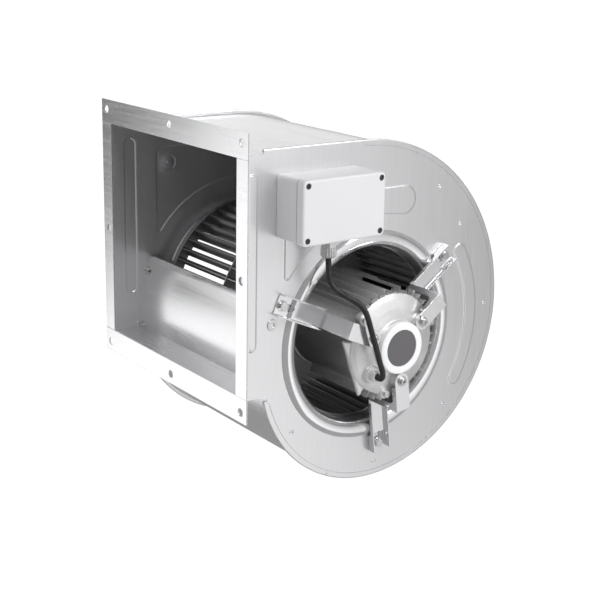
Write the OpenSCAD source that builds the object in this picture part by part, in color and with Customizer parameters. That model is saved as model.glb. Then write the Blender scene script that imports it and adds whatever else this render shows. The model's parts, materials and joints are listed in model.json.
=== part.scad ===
// Double-inlet direct-drive centrifugal blower with a forward-curved wheel.
// The origin is the centre of the outlet flange's front face. +Z is up, the air leaves towards -X,
// and the fan axis runs along Y with the motor on the -Y side.

/* [Outlet] */
// Clear width of the outlet between the side plates
outlet_w = 276; // [270:1:282]
// Clear height of the outlet
outlet_h = 262; // [258:1:266]
// Outside width and height of the square outlet flange
flange_side = 320; // [318:1:326]
// Distance between opposite flange holes
flange_hole_pitch = 296; // [292:1:300]
// Diameter of the flange holes
flange_hole_d = 9; // [7:0.5:10]

/* [Scroll housing] */
// Thickness of the galvanised sheet
sheet = 1.2; // [1:0.1:1.5]
// Fan axis, distance behind the flange face
axis_x = 186; // [184:1:190]
// Fan axis, height against the flange centre
axis_z = -95; // [-97:1:-93]
// Growth of the scroll radius in each quarter turn
scroll_growth = 26; // [25:0.5:27]
// Height of the folded seam around the side plates
seam_h = 5; // [4:0.5:6]
// Distance from the flange face to the start of the folded seam
seam_start_x = 34; // [30:1:38]

/* [Inlet rings] */
// Inside radius of the inlet throat
throat_r = 105.3; // [104:0.1:107]
// Radius of the rounded bell mouth
bell_r = 11.5; // [11:0.1:12]

/* [Wheel] */
// Outside radius of the blades
wheel_r = 120.5; // [118:0.5:122]
// Inside radius of the blades
blade_inner_r = 104; // [102:0.5:106]
// Width of the wheel on each side of its centre disc
wheel_half_w = 118; // [112:1:119]
// Blades on each side of the centre disc
blade_count = 54; // [40:1:60]
// Thickness of a blade
blade_t = 0.8; // [0.6:0.1:1]

/* [Motor] */
// Outside radius over the cooling fins
fin_r = 67.5; // [66:0.5:68.5]
// Outside radius of the cast frame below the fins
frame_r = 57.5; // [57:0.5:58.5]
// Angle between neighbouring fins
fin_pitch = 10; // [8:1:12]
// Radius of the motor shaft in the wheel hub
shaft_r = 6.35; // [6.2:0.05:6.5]

/* [Supports] */
// Width of a support channel
arm_w = 25; // [24:0.5:27]
// Distance from the fan axis to the bolts on the motor's end shield
ear_r = 42; // [41:0.5:43]

/* [Terminal box] */
// Length of the terminal box
box_l = 112; // [108:1:116]
// Height of the terminal box
box_h = 72; // [70:1:76]
// Depth of the terminal box with its lid
box_depth = 50; // [48:1:54]
// Diameter of the motor cable
cable_d = 6.5; // [6:0.1:7]

/* [Hidden] */
$fn = 96;
eps = 0.01;
half_w = outlet_w / 2;
half_h = outlet_h / 2;
plate_out = half_w + sheet;

// The scroll is four quarter arcs. Their centres are the corners of a small square about the fan axis.
offs = scroll_growth / 2;
scroll_top = half_h + sheet - axis_z;
scroll_left = scroll_top - 3 * scroll_growth;
arc_r = [for (i = [-1:2]) scroll_left + offs + i * scroll_growth];
arc_c = [
    [axis_x - offs, axis_z - offs],
    [axis_x + offs, axis_z - offs],
    [axis_x + offs, axis_z + offs],
    [axis_x - offs, axis_z + offs]
];
arc_quadrant = [[-1, 1], [-1, -1], [1, -1], [1, 1]];
lip_angle = 29;
plate_bottom_z = -half_h - 10;
seam_end_z = plate_bottom_z - 6;
seam_gap = 0.1;

// Small features of the side plates, as [x, z]
insert_at = [47, -59];
insert_r = 4.5;
insert_len = 10;
insert_relief = 2 * insert_r + 1.4;
insert_bore = 2.5;
knockout_at = [80, 77];
tongue_rivet_at = [34, -half_h + 4];

// Inlet rings
bell_c = throat_r + bell_r;
bell_y = plate_out + 4.1 - bell_r;
bell_step = 7.5;
plate_hole_r = throat_r + 7;
throat_end = half_w - 14;

// Outlet flange
rail_t = 1.5;
rail_leg = 16;
plate_edge = flange_side / 2 - plate_out;
hole_at = flange_hole_pitch / 2;

// Supports: three arms, each a channel on the side plate with a bracket to the motor
arm_angles = [156, 36, -83];
arm_t = 1.5;
arm_edge_y = -plate_out - 10.8;
arm_lift = 4.4;
arm_out = 147;
arm_in = 82;
arm_step = [bell_c + 7.5, bell_c + 12];
slot_r = 133;
slot_half = 5;
arm_screw_r = 139;
leg_r = 78;
leg_start_y = -plate_out - arm_lift;
leg_w = 20;
front_y = -195;
bracket_t = 1.5;

// Motor, placed along the fan axis
frame_front = -172;
frame_rear = -62;
frame_bore = 53;
shield_rim = 60;
bearing_or = 16;
bearing_ir = 6;
bearing_w = 10;
front_bearing_y = -188;
rear_bearing_y = -64;
rotor_r = 30.5;
stator_bore = 31;
core_front = -150;
core_rear = -90;
tie_angles = [140, 20, -100];
tie_r = 58;
tie_face = -184;
cap_ring_r = 30.4;
cap_disc_r = 21.6;
cap_front = -199;
neck_back = -188;
fin_front = -179;

// Wheel parts
disc_t = 1.5;
ring_t = 1.2;
hub_r = 18;
hub_flange_r = 34;
hub_len = 20;
rivet_circle = 27;

// Terminal box
box_x = 50;
box_z = 38;
box_wall = 2.5;
box_corner = 6;
lid_depth = 12;
gasket_t = 1;
box_front = -plate_out - box_depth;
lid_back = box_front + lid_depth;
box_inset = 6.5;
box_screw_x = [box_x + 25, box_x + box_l - 25];
gland_x = 103;
gland_y = -165;
gland_nut_r = 8.8;
gland_thread_r = 6;
gland_bottom = 16;

// Motor cable: a route of hand-placed points from the box gland to the gland on the end shield
cable_route = [
    [103, -165, 16], [102.8, -166, 5.7], [102.2, -168, -4.3], [103.4, -172, -14], [109.2, -178, -22.2],
    [116.6, -184, -27.4], [123.4, -189, -32], [128.9, -194, -37.3], [132.1, -198.5, -45.3],
    [133.8, -201.5, -54.7], [137.3, -203, -67.6], [141.4, -203.3, -79.5], [145.8, -203.3, -91.8],
    [149.5, -203.6, -104], [152.4, -203.9, -111.5], [154.2, -203.9, -117.5], [154.6, -203.4, -122],
    [153.4, -201.3, -124.8], [152, -198, -123.4], [152, -193, -123.4]
];
cable_sides = 10;
motor_gland_at = [152, -194, -123.4];

// ---- Helpers ----

// Extrudes a shape drawn in X and Z from y0 towards +Y
module sheet_y(y0, t) {
    translate([0, y0 + t, 0]) rotate([90, 0, 0]) linear_extrude(t) children();
}

// Places a body of revolution on the fan axis: its Z becomes +Y
module on_axis(y = 0) {
    translate([axis_x, y, axis_z]) rotate([-90, 0, 0]) children();
}

// Revolves a profile of [radius, y] points about the fan axis
module revolve(points) {
    on_axis() rotate_extrude() polygon(points);
}

// A tube or rod on the fan axis between two y values
module axial(y0, y1, r, bore = 0) {
    on_axis(y0) difference() {
        cylinder(h = y1 - y0, r = r);
        if (bore > 0) translate([0, 0, -1]) cylinder(h = y1 - y0 + 2, r = bore);
    }
}

// Turns about the fan axis: local X is radial, local Y is the fan axis, local Z is tangential
module at_angle(a) {
    translate([axis_x, 0, axis_z]) rotate([0, -a, 0]) children();
}

// A round bar along +Y from a point in the local frame
module bar_y(p, r, h) {
    translate(p) rotate([-90, 0, 0]) cylinder(h = h, r = r);
}

module quadrant(c, q, size) {
    translate([c.x - (q.x < 0 ? size : 0), c.y - (q.y < 0 ? size : 0)]) square(size);
}

module annulus(c, r, t) {
    translate(c) difference() {
        circle(r = r);
        circle(r = r - t);
    }
}

// Area inside the scroll, grown outward by d
module scroll_area(d) {
    for (i = [1:3])
        intersection() {
            translate(arc_c[i]) circle(r = arc_r[i] + d);
            quadrant(arc_c[i], arc_quadrant[i], 300);
        }
    translate([arc_c[3].x - 1, arc_c[1].y - 1]) square(scroll_growth + 2);
}

// Outline of a side plate, grown outward by d
module plate_area(d) {
    scroll_area(d);
    translate([rail_t, plate_bottom_z])
        square([arc_c[3].x - rail_t, scroll_top + axis_z + d - plate_bottom_z]);
}

// Band of thickness t along the scroll, its outer face grown outward by d
module scroll_band(d, t) {
    for (i = [1:3])
        intersection() {
            annulus(arc_c[i], arc_r[i] + d, t);
            quadrant(arc_c[i], arc_quadrant[i], 300);
        }
    translate([rail_t, scroll_top + axis_z + d - t]) square([arc_c[3].x - rail_t + eps, t]);
}

// The first arc of the scroll, from its lowest point up to the cut-off
module tongue_band() {
    intersection() {
        annulus(arc_c[0], arc_r[0], sheet);
        translate(arc_c[0])
            polygon([[0, -eps], [-300, -eps], [-300 * cos(lip_angle), 300 * sin(lip_angle)]]);
    }
}

// The part of the plane in which the folded seam runs
module seam_zone() {
    translate([axis_x, -400]) square([400, 800]);
    translate([seam_start_x, 0]) square([axis_x, 400]);
    translate([0, -400]) square([axis_x + eps, 400 + seam_end_z]);
}

module mirror_rear() {
    mirror([0, 1, 0]) children();
}

// ---- Scroll housing ----

// Side plate with its inlet hole, its front edge turned out behind the flange, and its folded rim
module side_plate() {
    sheet_y(-plate_out, sheet) difference() {
        union() {
            plate_area(0);
            intersection() {
                plate_area(seam_h);
                seam_zone();
            }
        }
        translate([axis_x, axis_z]) circle(r = plate_hole_r);
    }
    translate([rail_t, -plate_out - plate_edge, -half_h]) cube([sheet, plate_edge + eps, outlet_h]);
    sheet_y(-half_w - eps, 2 * sheet + eps) intersection() {
        scroll_band(seam_h, sheet);
        seam_zone();
    }
    sheet_y(-half_w + sheet, sheet) intersection() {
        scroll_band(seam_h, seam_h - 1.5);
        seam_zone();
    }
}

module plate_holes_motor() {
    for (a = arm_angles) at_angle(a) bar_y([arm_screw_r, -plate_out - 1, 0], 3.4, 5);
    for (x = box_screw_x) bar_y([x, -plate_out - 1, box_z + box_h / 2], 2.2, 5);
    bar_y([insert_at.x, -plate_out - 1, insert_at.y], insert_r, 5);
    rail_holes();
}

module side_plate_motor() {
    color("gainsboro") difference() {
        side_plate();
        plate_holes_motor();
    }
}

module side_plate_rear() {
    color("silver") difference() {
        mirror_rear() side_plate();
        bar_y([knockout_at.x, half_w - 1, knockout_at.y], 3.5, 5);
        bar_y([insert_at.x, half_w - 1, insert_at.y], insert_r, 5);
        rail_holes();
    }
}

// Scroll wrap: one long sheet, with a flange at each edge that the side plates fold around
module scroll_wrap() {
    color("whitesmoke") difference() {
        union() {
            sheet_y(-half_w, outlet_w) {
                scroll_band(0, sheet);
                tongue_band();
            }
            for (s = [-1, 1])
                sheet_y(s > 0 ? half_w - sheet : -half_w, sheet) intersection() {
                    scroll_band(seam_h - sheet - seam_gap, seam_h - sheet - seam_gap + 0.5);
                    seam_zone();
                }
        }
        for (s = [-1, 1])
            translate([insert_at.x, s * half_w, insert_at.y])
                cube([insert_relief, 2 * insert_len + 4, insert_relief], center = true);
    }
}

// Folded strip that stiffens the edge of the scroll at the cut-off
module cutoff_lip() {
    lip = arc_c[0] + (arc_r[0] - sheet / 2) * [-cos(lip_angle), sin(lip_angle)];
    color("white") sheet_y(-half_w + 6.5, outlet_w - 13) difference() {
        translate(lip) circle(r = 2.4);
        tongue_band();
    }
}

// Floor of the outlet, from the flange back to the scroll, with a tab that follows the scroll
module outlet_floor() {
    color("lightgray") sheet_y(-half_w, outlet_w) {
        difference() {
            translate([rail_t, -half_h - sheet]) square([60, sheet]);
            translate(arc_c[1]) circle(r = arc_r[1]);
        }
        intersection() {
            annulus(arc_c[1], arc_r[1] + sheet, sheet);
            translate([0, -half_h - 9]) square([60, 9]);
        }
    }
}

module tongue_rivets() {
    color("silver") for (s = [-1, 1])
        translate([tongue_rivet_at.x, s * half_w, tongue_rivet_at.y])
            rotate([s * 90, 0, 0]) cylinder(h = 1.4, r1 = 3.2, r2 = 2);
}

// Threaded insert in each side plate
module plate_rivnut() {
    difference() {
        union() {
            bar_y([insert_at.x, -plate_out - 1, insert_at.y], insert_r + 2, 1);
            bar_y([insert_at.x, -plate_out - eps, insert_at.y], insert_r, insert_len);
        }
        bar_y([insert_at.x, -plate_out - 2, insert_at.y], insert_bore, insert_len + 10);
    }
}

module plate_rivnuts() {
    color("silver") {
        plate_rivnut();
        mirror_rear() plate_rivnut();
    }
}

// ---- Outlet flange: two rails of angle section across, two flat rails between them ----

module rail_holes() {
    for (y = [-1, 0, 1])
        for (z = [-1, 0, 1])
            if (y != 0 || z != 0)
                translate([-1, y * hole_at, z * hole_at]) rotate([0, 90, 0])
                    cylinder(h = rail_t + sheet + 2, r = flange_hole_d / 2);
}

module rail_across(s) {
    strip = flange_side / 2 - half_h;
    difference() {
        union() {
            translate([0, -flange_side / 2, s > 0 ? half_h : -flange_side / 2])
                cube([rail_t, flange_side, strip]);
            translate([rail_t - eps, -half_w, s > 0 ? half_h + sheet : -half_h - sheet - rail_t])
                cube([rail_leg, outlet_w, rail_t]);
        }
        rail_holes();
    }
}

module rail_upright(s) {
    strip = flange_side / 2 - half_w;
    difference() {
        translate([0, s > 0 ? half_w : -flange_side / 2, -half_h]) cube([rail_t, strip, outlet_h]);
        rail_holes();
    }
}

module flange_rail_top() {
    color("dimgray") rail_across(1);
}

module flange_rail_bottom() {
    color("white") rail_across(-1);
}

module flange_rail_left() {
    color("lightgray") rail_upright(1);
}

module flange_rail_right() {
    color("white") rail_upright(-1);
}

// ---- Inlet rings ----

// Points on the bell mouth's arc at radius r, from the throat round to where it meets the plate
function bell_arc(r) = [
    for (t = concat([for (a = [180:bell_step:300]) a], 360 - asin((plate_out - bell_y) / r)))
        [bell_c + r * cos(t), -bell_y + r * sin(t)]
];
function reversed(list) = [for (i = [len(list) - 1:-1:0]) list[i]];

// Spun bell mouth: a rounded lip that stands on the plate, then a short straight throat
module inlet_ring() {
    revolve(concat(
        [[throat_r, -throat_end]], bell_arc(bell_r), reversed(bell_arc(bell_r - sheet)),
        [[throat_r + sheet, -throat_end]]
    ));
}

module inlet_ring_motor() {
    color("white") inlet_ring();
}

module inlet_ring_rear() {
    color("white") mirror_rear() inlet_ring();
}

// ---- Motor supports ----

// Outline of an arm's web from the side: flat on the plate, then stepped up over the bell mouth
function arm_web(y) = [
    [arm_out, -plate_out - y], [arm_step[1], -plate_out - y],
    [arm_step[0], -plate_out - arm_lift - y], [arm_in, -plate_out - arm_lift - y]
];

// Channel on the side plate, open to the front, with its web screwed to the plate
module support_arm() {
    difference() {
        translate([0, 0, -arm_w / 2]) {
            linear_extrude(arm_w) polygon(concat(arm_web(0), reversed(arm_web(arm_t))));
            for (z = [0, arm_w - arm_t])
                translate([0, 0, z]) linear_extrude(arm_t)
                    polygon(concat(arm_web(0), [[arm_in, arm_edge_y], [arm_out, arm_edge_y]]));
        }
        for (x = [-slot_half, slot_half]) bar_y([slot_r + x, arm_edge_y, 0], 4.2, 12);
        translate([slot_r - slot_half, arm_edge_y, -4.2]) cube([2 * slot_half, 12, 8.4]);
    }
}

// Bracket from the channel to the motor: a foot welded behind the web, a leg along the axis and a front
// leg to the bolt
module motor_bracket() {
    foot_y = leg_start_y;
    side = [
        [leg_r, foot_y], [leg_r, front_y + bracket_t], [50, front_y + bracket_t], [50, front_y + 7],
        [leg_r - 11, front_y + 7], [leg_r - 7, front_y + 12], [leg_r - 7, foot_y]
    ];
    difference() {
        union() {
            translate([leg_r, foot_y, -leg_w / 2]) cube([24, bracket_t, leg_w]);
            translate([leg_r, front_y, -leg_w / 2]) cube([bracket_t, foot_y + bracket_t - front_y, leg_w]);
            translate([ear_r, front_y, -leg_w / 2]) cube([leg_r - ear_r + bracket_t, bracket_t, leg_w]);
            bar_y([ear_r, front_y, 0], leg_w / 2, bracket_t);
            for (s = [-1, 1])
                translate([0, 0, s > 0 ? leg_w / 2 - bracket_t : -leg_w / 2])
                    linear_extrude(bracket_t) polygon([for (p = side) [p.x + 0.5 * eps, p.y]]);
        }
        bar_y([ear_r, front_y - 1, 0], 3.2, bracket_t + 2);
    }
}

module support_arm_left() {
    color("white") at_angle(arm_angles[0]) support_arm();
}

module support_arm_right() {
    color("white") at_angle(arm_angles[1]) support_arm();
}

module support_arm_bottom() {
    color("white") at_angle(arm_angles[2]) support_arm();
}

module motor_bracket_left() {
    color("gainsboro") at_angle(arm_angles[0]) motor_bracket();
}

module motor_bracket_right() {
    color("gainsboro") at_angle(arm_angles[1]) motor_bracket();
}

module motor_bracket_bottom() {
    color("gainsboro") at_angle(arm_angles[2]) motor_bracket();
}

module arm_screws() {
    screw_seat = -plate_out - arm_t;
    color("silver") for (a = arm_angles) at_angle(a) {
        bar_y([arm_screw_r, screw_seat - 1.2, 0], 6.2, 1.2);
        bar_y([arm_screw_r, screw_seat - 5, 0], 4.8, 3.8 + eps);
        bar_y([arm_screw_r, screw_seat - 1.2, 0], 2.9, 14);
    }
}

module arm_nuts() {
    color("silver") for (a = arm_angles) at_angle(a) difference() {
        bar_y([arm_screw_r, -half_w, 0], 5.2, 5);
        bar_y([arm_screw_r, -half_w - 1, 0], 2.9, 8);
    }
}

// Socket-head bolts that hold the brackets to the end shield
module bracket_bolts() {
    color("silver") for (a = arm_angles) at_angle(a) difference() {
        union() {
            bar_y([ear_r, front_y - 1, 0], 6, 1);
            bar_y([ear_r, front_y - 4.5, 0], 4.2, 3.5 + eps);
            bar_y([ear_r, front_y - 1, 0], 2.6, 9);
        }
        translate([ear_r, front_y - 5, 0]) rotate([-90, 0, 0]) cylinder(h = 3, r = 2.3, $fn = 6);
    }
}

// ---- Motor ----

// Cast frame: a tube with cooling fins, left smooth on the side where the casting is plain. The fins
// reach forward past the rim of the end shield, apart from the ones beside a tie bolt.
module motor_frame() {
    color("lightgray") difference() {
        union() {
            axial(frame_front, frame_rear, frame_r);
            for (a = [-120:fin_pitch:130]) at_angle(a) {
                translate([frame_r - 3, frame_front, -0.9])
                    cube([fin_r - frame_r + 3, frame_rear - frame_front - 8, 1.8]);
                if (min([for (t = tie_angles) abs(a - t)]) > 7)
                    translate([shield_rim + 0.3, fin_front, -0.9])
                        cube([fin_r - shield_rim - 0.3, frame_front - fin_front + eps, 1.8]);
            }
        }
        axial(frame_front - 1, frame_rear + 1, frame_bore);
    }
}

// Outer end shield: rim, dome, bearing seat, three pads for the brackets and a boss for the cable gland
module motor_end_shield() {
    seat_back = front_bearing_y + bearing_w + 2;
    color("gainsboro") difference() {
        union() {
            revolve([
                [bearing_or, seat_back], [bearing_or, front_bearing_y], [9, front_bearing_y], [9, -193],
                [cap_ring_r - 0.4, -193], [cap_ring_r - 0.4, neck_back], [44, -185.5], [54, -182.5], [shield_rim, -180],
                [shield_rim, frame_front], [frame_bore, frame_front], [frame_bore, frame_front + 4],
                [frame_bore - 4, frame_front + 4], [frame_bore - 4, -176], [42, -181.5],
                [bearing_or + 4, -185], [bearing_or + 4, seat_back]
            ]);
            for (a = arm_angles) at_angle(a) bar_y([ear_r, front_y + bracket_t, 0], 8, 10);
            for (a = tie_angles) at_angle(a) bar_y([tie_r, tie_face, 0], 6.5, 10);
            sheet_y(-179, 5) translate([axis_x, axis_z]) difference() {
                polygon([[0, 0], 71 * [cos(168), sin(168)], 71 * [cos(231), sin(231)]]);
                circle(r = 56);
            }
            at_motor_gland() translate([0, 0, 5]) cylinder(h = 11, r = 9.6);
        }
        for (a = arm_angles) at_angle(a) bar_y([ear_r, front_y - 1, 0], 2.6, 11);
        for (a = tie_angles) at_angle(a) bar_y([tie_r, tie_face - 1, 0], 2.2, 14);
        at_motor_gland() translate([0, 0, 4]) cylinder(h = 16, r = 5.5);
    }
}

// Inner end shield: closes the frame inside the wheel and carries the second bearing
module motor_rear_shield() {
    seat = rear_bearing_y + bearing_w + 1;
    color("lightgray") difference() {
        revolve([
            [bearing_or, rear_bearing_y - 2], [bearing_or, seat], [8, seat], [8, seat + 4],
            [24, seat + 4], [30, seat + 1], [54, frame_rear + 6], [shield_rim - 1, frame_rear + 5],
            [shield_rim - 1, frame_rear], [frame_bore, frame_rear], [frame_bore, frame_rear - 4],
            [frame_bore - 4, frame_rear - 4], [frame_bore - 4, frame_rear], [bearing_or + 4, seat - 5],
            [bearing_or + 4, rear_bearing_y - 2]
        ]);
        for (a = tie_angles) at_angle(a) bar_y([tie_r - 5, frame_rear - 10, 0], 2, 30);
    }
}

// Through bolts between the two end shields, seen as heads on the outer shield
module tie_bolts() {
    color("silver") for (a = tie_angles) at_angle(a) {
        translate([tie_r, tie_face - 4, 0]) rotate([-90, 0, 0]) cylinder(h = 4, r = 4.4, $fn = 6);
        bar_y([tie_r, tie_face - eps, 0], 2.1, 12);
    }
}

// Laminated stator core with slots open to the bore
module stator_core() {
    color("slategray") difference() {
        axial(core_front, core_rear, frame_bore, stator_bore);
        for (a = [0:15:345])
            at_angle(a) translate([stator_bore - 2, core_front - 1, -1.6])
                cube([14, core_rear - core_front + 2, 3.2]);
    }
}

// End turns of the copper winding, in front of and behind the core
module stator_windings() {
    color("peru") for (y = [core_front - 14, core_rear])
        on_axis(y) rotate_extrude() {
            translate([34, 3]) square([13, 8]);
            translate([37, 0]) square([7, 14]);
        }
}

module bearing_outer_rings() {
    color("silver") for (y = [front_bearing_y, rear_bearing_y])
        on_axis(y) rotate_extrude() difference() {
            translate([12.6, 0]) square([bearing_or - 12.6, bearing_w]);
            translate([11, bearing_w / 2]) circle(r = 2.45);
        }
}

module bearing_inner_rings() {
    color("silver") for (y = [front_bearing_y, rear_bearing_y])
        on_axis(y) rotate_extrude() difference() {
            translate([bearing_ir, 0]) square([9.4 - bearing_ir, bearing_w]);
            translate([11, bearing_w / 2]) circle(r = 2.45);
        }
}

module bearing_balls() {
    color("white") for (y = [front_bearing_y, rear_bearing_y])
        for (a = [0:45:315])
            at_angle(a) translate([11, y + bearing_w / 2, 0]) sphere(r = 2.38);
}

// Preload washer between the inner bearing and the end of its seat
module wave_washer() {
    seat = rear_bearing_y + bearing_w;
    color("dimgray") axial(seat, seat + 1, bearing_or - 0.5, 12.8);
}

module shield_cap_ring() {
    color("white") revolve([
        [cap_disc_r, cap_front], [cap_ring_r - 1, cap_front], [cap_ring_r, cap_front + 1],
        [cap_ring_r, cap_front + 5], [cap_disc_r + 2, cap_front + 6], [cap_disc_r, cap_front + 6]
    ]);
}

module shield_cap() {
    color("dimgray") revolve([
        [0, cap_front + 0.6], [cap_disc_r - 0.2, cap_front + 0.6], [cap_disc_r - 0.2, cap_front + 5.9],
        [cap_disc_r - 2, cap_front + 5.9], [cap_disc_r - 2, cap_front + 2.4], [0, cap_front + 2.4]
    ]);
}

// Local +Z runs into the boss on the end shield
module at_motor_gland() {
    translate(motor_gland_at) rotate([-90, 0, 0]) children();
}

module motor_gland() {
    color("gray") at_motor_gland() difference() {
        union() {
            translate([0, 0, 2]) cylinder(h = 9, r = 5.4);
            translate([0, 0, 2]) cylinder(h = 3, r = 7);
        }
        translate([0, 0, -1]) cylinder(h = 20, r = cable_d / 2 + 0.3);
    }
}

module motor_gland_nut() {
    color("lightgray") at_motor_gland() difference() {
        translate([0, 0, -3.5]) cylinder(h = 5.5, r = 6.5);
        translate([0, 0, -9]) cylinder(h = 20, r = cable_d / 2 + 0.3);
    }
}

function unit(v) = v / norm(v);
function route_dir(i) = unit(cable_route[min(i + 1, len(cable_route) - 1)] - cable_route[max(i - 1, 0)]);
function ring_x(d) = unit(cross(d, [0.3, 1, 0.2]));
function ring_point(i, k) =
    let (d = route_dir(i), u = ring_x(d), v = cross(d, u), a = 360 * k / cable_sides)
    cable_route[i] + cable_d / 2 * (cos(a) * u + sin(a) * v);

// Round cable swept along its route
module motor_cable() {
    n = len(cable_route);
    rings = [for (i = [0:n - 1]) for (k = [0:cable_sides - 1]) ring_point(i, k)];
    walls = [for (i = [0:n - 2]) for (k = [0:cable_sides - 1])
        let (k2 = (k + 1) % cable_sides, a = i * cable_sides, b = a + cable_sides)
        [a + k, a + k2, b + k2, b + k]];
    first = [for (k = [cable_sides - 1:-1:0]) k];
    last = [for (k = [0:cable_sides - 1]) (n - 1) * cable_sides + k];
    color("black") polyhedron(rings, concat(walls, [first, last]), convexity = 6);
}

// ---- Terminal box ----

module rounded_rect(l, h, r) {
    translate([r, 0]) square([l - 2 * r, h]);
    translate([0, r]) square([l, h - 2 * r]);
    for (x = [r, l - r])
        for (y = [r, h - r])
            translate([x, y]) circle(r = r);
}

module box_outline(inset) {
    translate([box_x + inset, box_z + inset])
        rounded_rect(box_l - 2 * inset, box_h - 2 * inset, box_corner - inset);
}

module box_corners() {
    for (x = [box_x + box_inset, box_x + box_l - box_inset])
        for (z = [box_z + box_inset, box_z + box_h - box_inset])
            translate([x, z]) children();
}

module terminal_box() {
    color("whitesmoke") difference() {
        union() {
            sheet_y(lid_back + gasket_t, -plate_out - lid_back - gasket_t) difference() {
                box_outline(0);
                box_outline(box_wall);
            }
            sheet_y(-plate_out - box_wall, box_wall) box_outline(box_wall / 2);
            sheet_y(lid_back + gasket_t, -plate_out - lid_back - gasket_t) box_corners() circle(r = 4.8);
        }
        sheet_y(lid_back, 20) box_corners() circle(r = 1.6);
        for (x = box_screw_x) bar_y([x, -plate_out - 10, box_z + box_h / 2], 2.2, 20);
        translate([gland_x, gland_y, box_z - 1]) cylinder(h = 10, r = gland_thread_r + 0.1);
    }
}

module terminal_box_lid() {
    color("whitesmoke") difference() {
        union() {
            sheet_y(box_front, box_wall) box_outline(0);
            sheet_y(box_front + box_wall - eps, lid_depth - box_wall + eps) difference() {
                box_outline(0);
                box_outline(box_wall);
            }
            sheet_y(box_front + box_wall - eps, lid_depth - box_wall + eps) box_corners() circle(r = 4.8);
        }
        sheet_y(box_front - 1, lid_depth + 2) box_corners() circle(r = 2);
        sheet_y(box_front - 1, 3.2) box_corners() circle(r = 3.4);
    }
}

module lid_gasket() {
    color("dimgray") sheet_y(lid_back, gasket_t) difference() {
        box_outline(0.4);
        box_outline(box_wall - 0.4);
    }
}

module lid_screws() {
    color("black") {
        sheet_y(box_front + 0.2, 2) box_corners() circle(r = 3.2);
        sheet_y(box_front + 2.2 - eps, lid_depth + 6) box_corners() circle(r = 1.55);
    }
}

module box_screws() {
    color("silver") for (x = box_screw_x) {
        bar_y([x, -plate_out - box_wall - 2.6, box_z + box_h / 2], 4, 2.6);
        bar_y([x, -plate_out - box_wall - eps, box_z + box_h / 2], 2.1, 9);
    }
}

module terminal_block() {
    color("ivory") translate([box_x + 36, -plate_out - box_wall - 14, box_z + 9]) difference() {
        cube([40, 14, 16]);
        for (i = [0:3]) translate([5 + 10 * i, 5, 8]) rotate([90, 0, 0]) cylinder(h = 10, r = 3);
    }
}

// Run capacitor of the single-phase motor, inside the box
module run_capacitor() {
    color("lightgray") translate([box_x + 20, -plate_out - box_wall - 20, box_z + box_h - 20])
        rotate([0, 90, 0]) cylinder(h = 70, r = 12);
}

module box_gland() {
    color("gray") translate([gland_x, gland_y, 0]) difference() {
        union() {
            translate([0, 0, 20]) cylinder(h = box_z - 20 + 7, r = gland_thread_r);
            translate([0, 0, 28]) cylinder(h = box_z - 28, r = 9.2, $fn = 6);
        }
        translate([0, 0, 10]) cylinder(h = 60, r = cable_d / 2 + 0.3);
    }
}

module box_gland_nut() {
    color("lightgray") translate([gland_x, gland_y, gland_bottom]) difference() {
        cylinder(h = 12, r = gland_nut_r);
        translate([0, 0, -1]) cylinder(h = 5.01, r = cable_d / 2 + 0.3);
        translate([0, 0, 4]) cylinder(h = 10, r = gland_thread_r);
    }
}

// ---- Wheel and rotor ----

module wheel_centre_disc() {
    color("silver") difference() {
        axial(-disc_t / 2, disc_t / 2, wheel_r + 1, hub_r);
        for (i = [0:5]) at_angle(60 * i) bar_y([rivet_circle, -5, 0], 2.5, 10);
    }
}

module wheel_hub() {
    color("silver") difference() {
        union() {
            axial(disc_t / 2, disc_t / 2 + 4, hub_flange_r, shaft_r);
            axial(-disc_t / 2 - eps, hub_len, hub_r, shaft_r);
        }
        for (i = [0:5]) at_angle(60 * i) bar_y([rivet_circle, -5, 0], 2.5, 20);
        at_angle(90) translate([0, 12, 0]) rotate([0, 90, 0]) cylinder(h = 30, r = 3);
    }
}

module hub_rivets() {
    color("silver") for (i = [0:5]) at_angle(60 * i) {
        bar_y([rivet_circle, -disc_t / 2 - 1.8, 0], 4.2, 1.8);
        bar_y([rivet_circle, -disc_t / 2 - eps, 0], 2.5, disc_t + 4 + 2 * eps);
        bar_y([rivet_circle, disc_t / 2 + 4, 0], 4.2, 1.8);
    }
}

module hub_set_screw() {
    color("dimgray") at_angle(90) translate([0, 12, 0]) rotate([0, 90, 0]) difference() {
        translate([0, 0, shaft_r - 0.8]) cylinder(h = hub_r - shaft_r + 0.4, r = 3);
        translate([0, 0, hub_r - 3]) cylinder(h = 5, r = 1.6, $fn = 6);
    }
}

// One forward-curved blade, seen along the axis: an arc between the two blade radii
module blade_section() {
    intersection() {
        annulus([(wheel_r + blade_inner_r) / 2 + 0.8, 8.6], 10.6, blade_t);
        annulus([0, 0], wheel_r, wheel_r - blade_inner_r);
        translate([blade_inner_r - 4, -4]) square([24, 12.6]);
    }
}

module blades(y0) {
    for (i = [0:blade_count - 1])
        sheet_y(y0, wheel_half_w - disc_t / 2)
            translate([axis_x, axis_z]) rotate(i * 360 / blade_count) blade_section();
}

module blades_motor_side() {
    color("darkgray") blades(-wheel_half_w);
}

module blades_rear_side() {
    color("darkgray") blades(disc_t / 2);
}

// End ring of the wheel: a flat ring with its outer edge turned over the blades
module wheel_ring() {
    revolve([
        [blade_inner_r - 0.5, -wheel_half_w - ring_t], [wheel_r + ring_t + 0.1, -wheel_half_w - ring_t],
        [wheel_r + ring_t + 0.1, -wheel_half_w + 6], [wheel_r + 0.1, -wheel_half_w + 6],
        [wheel_r + 0.1, -wheel_half_w], [blade_inner_r - 0.5, -wheel_half_w]
    ]);
}

module wheel_ring_motor() {
    color("silver") wheel_ring();
}

module wheel_ring_rear() {
    color("silver") mirror_rear() wheel_ring();
}

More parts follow.
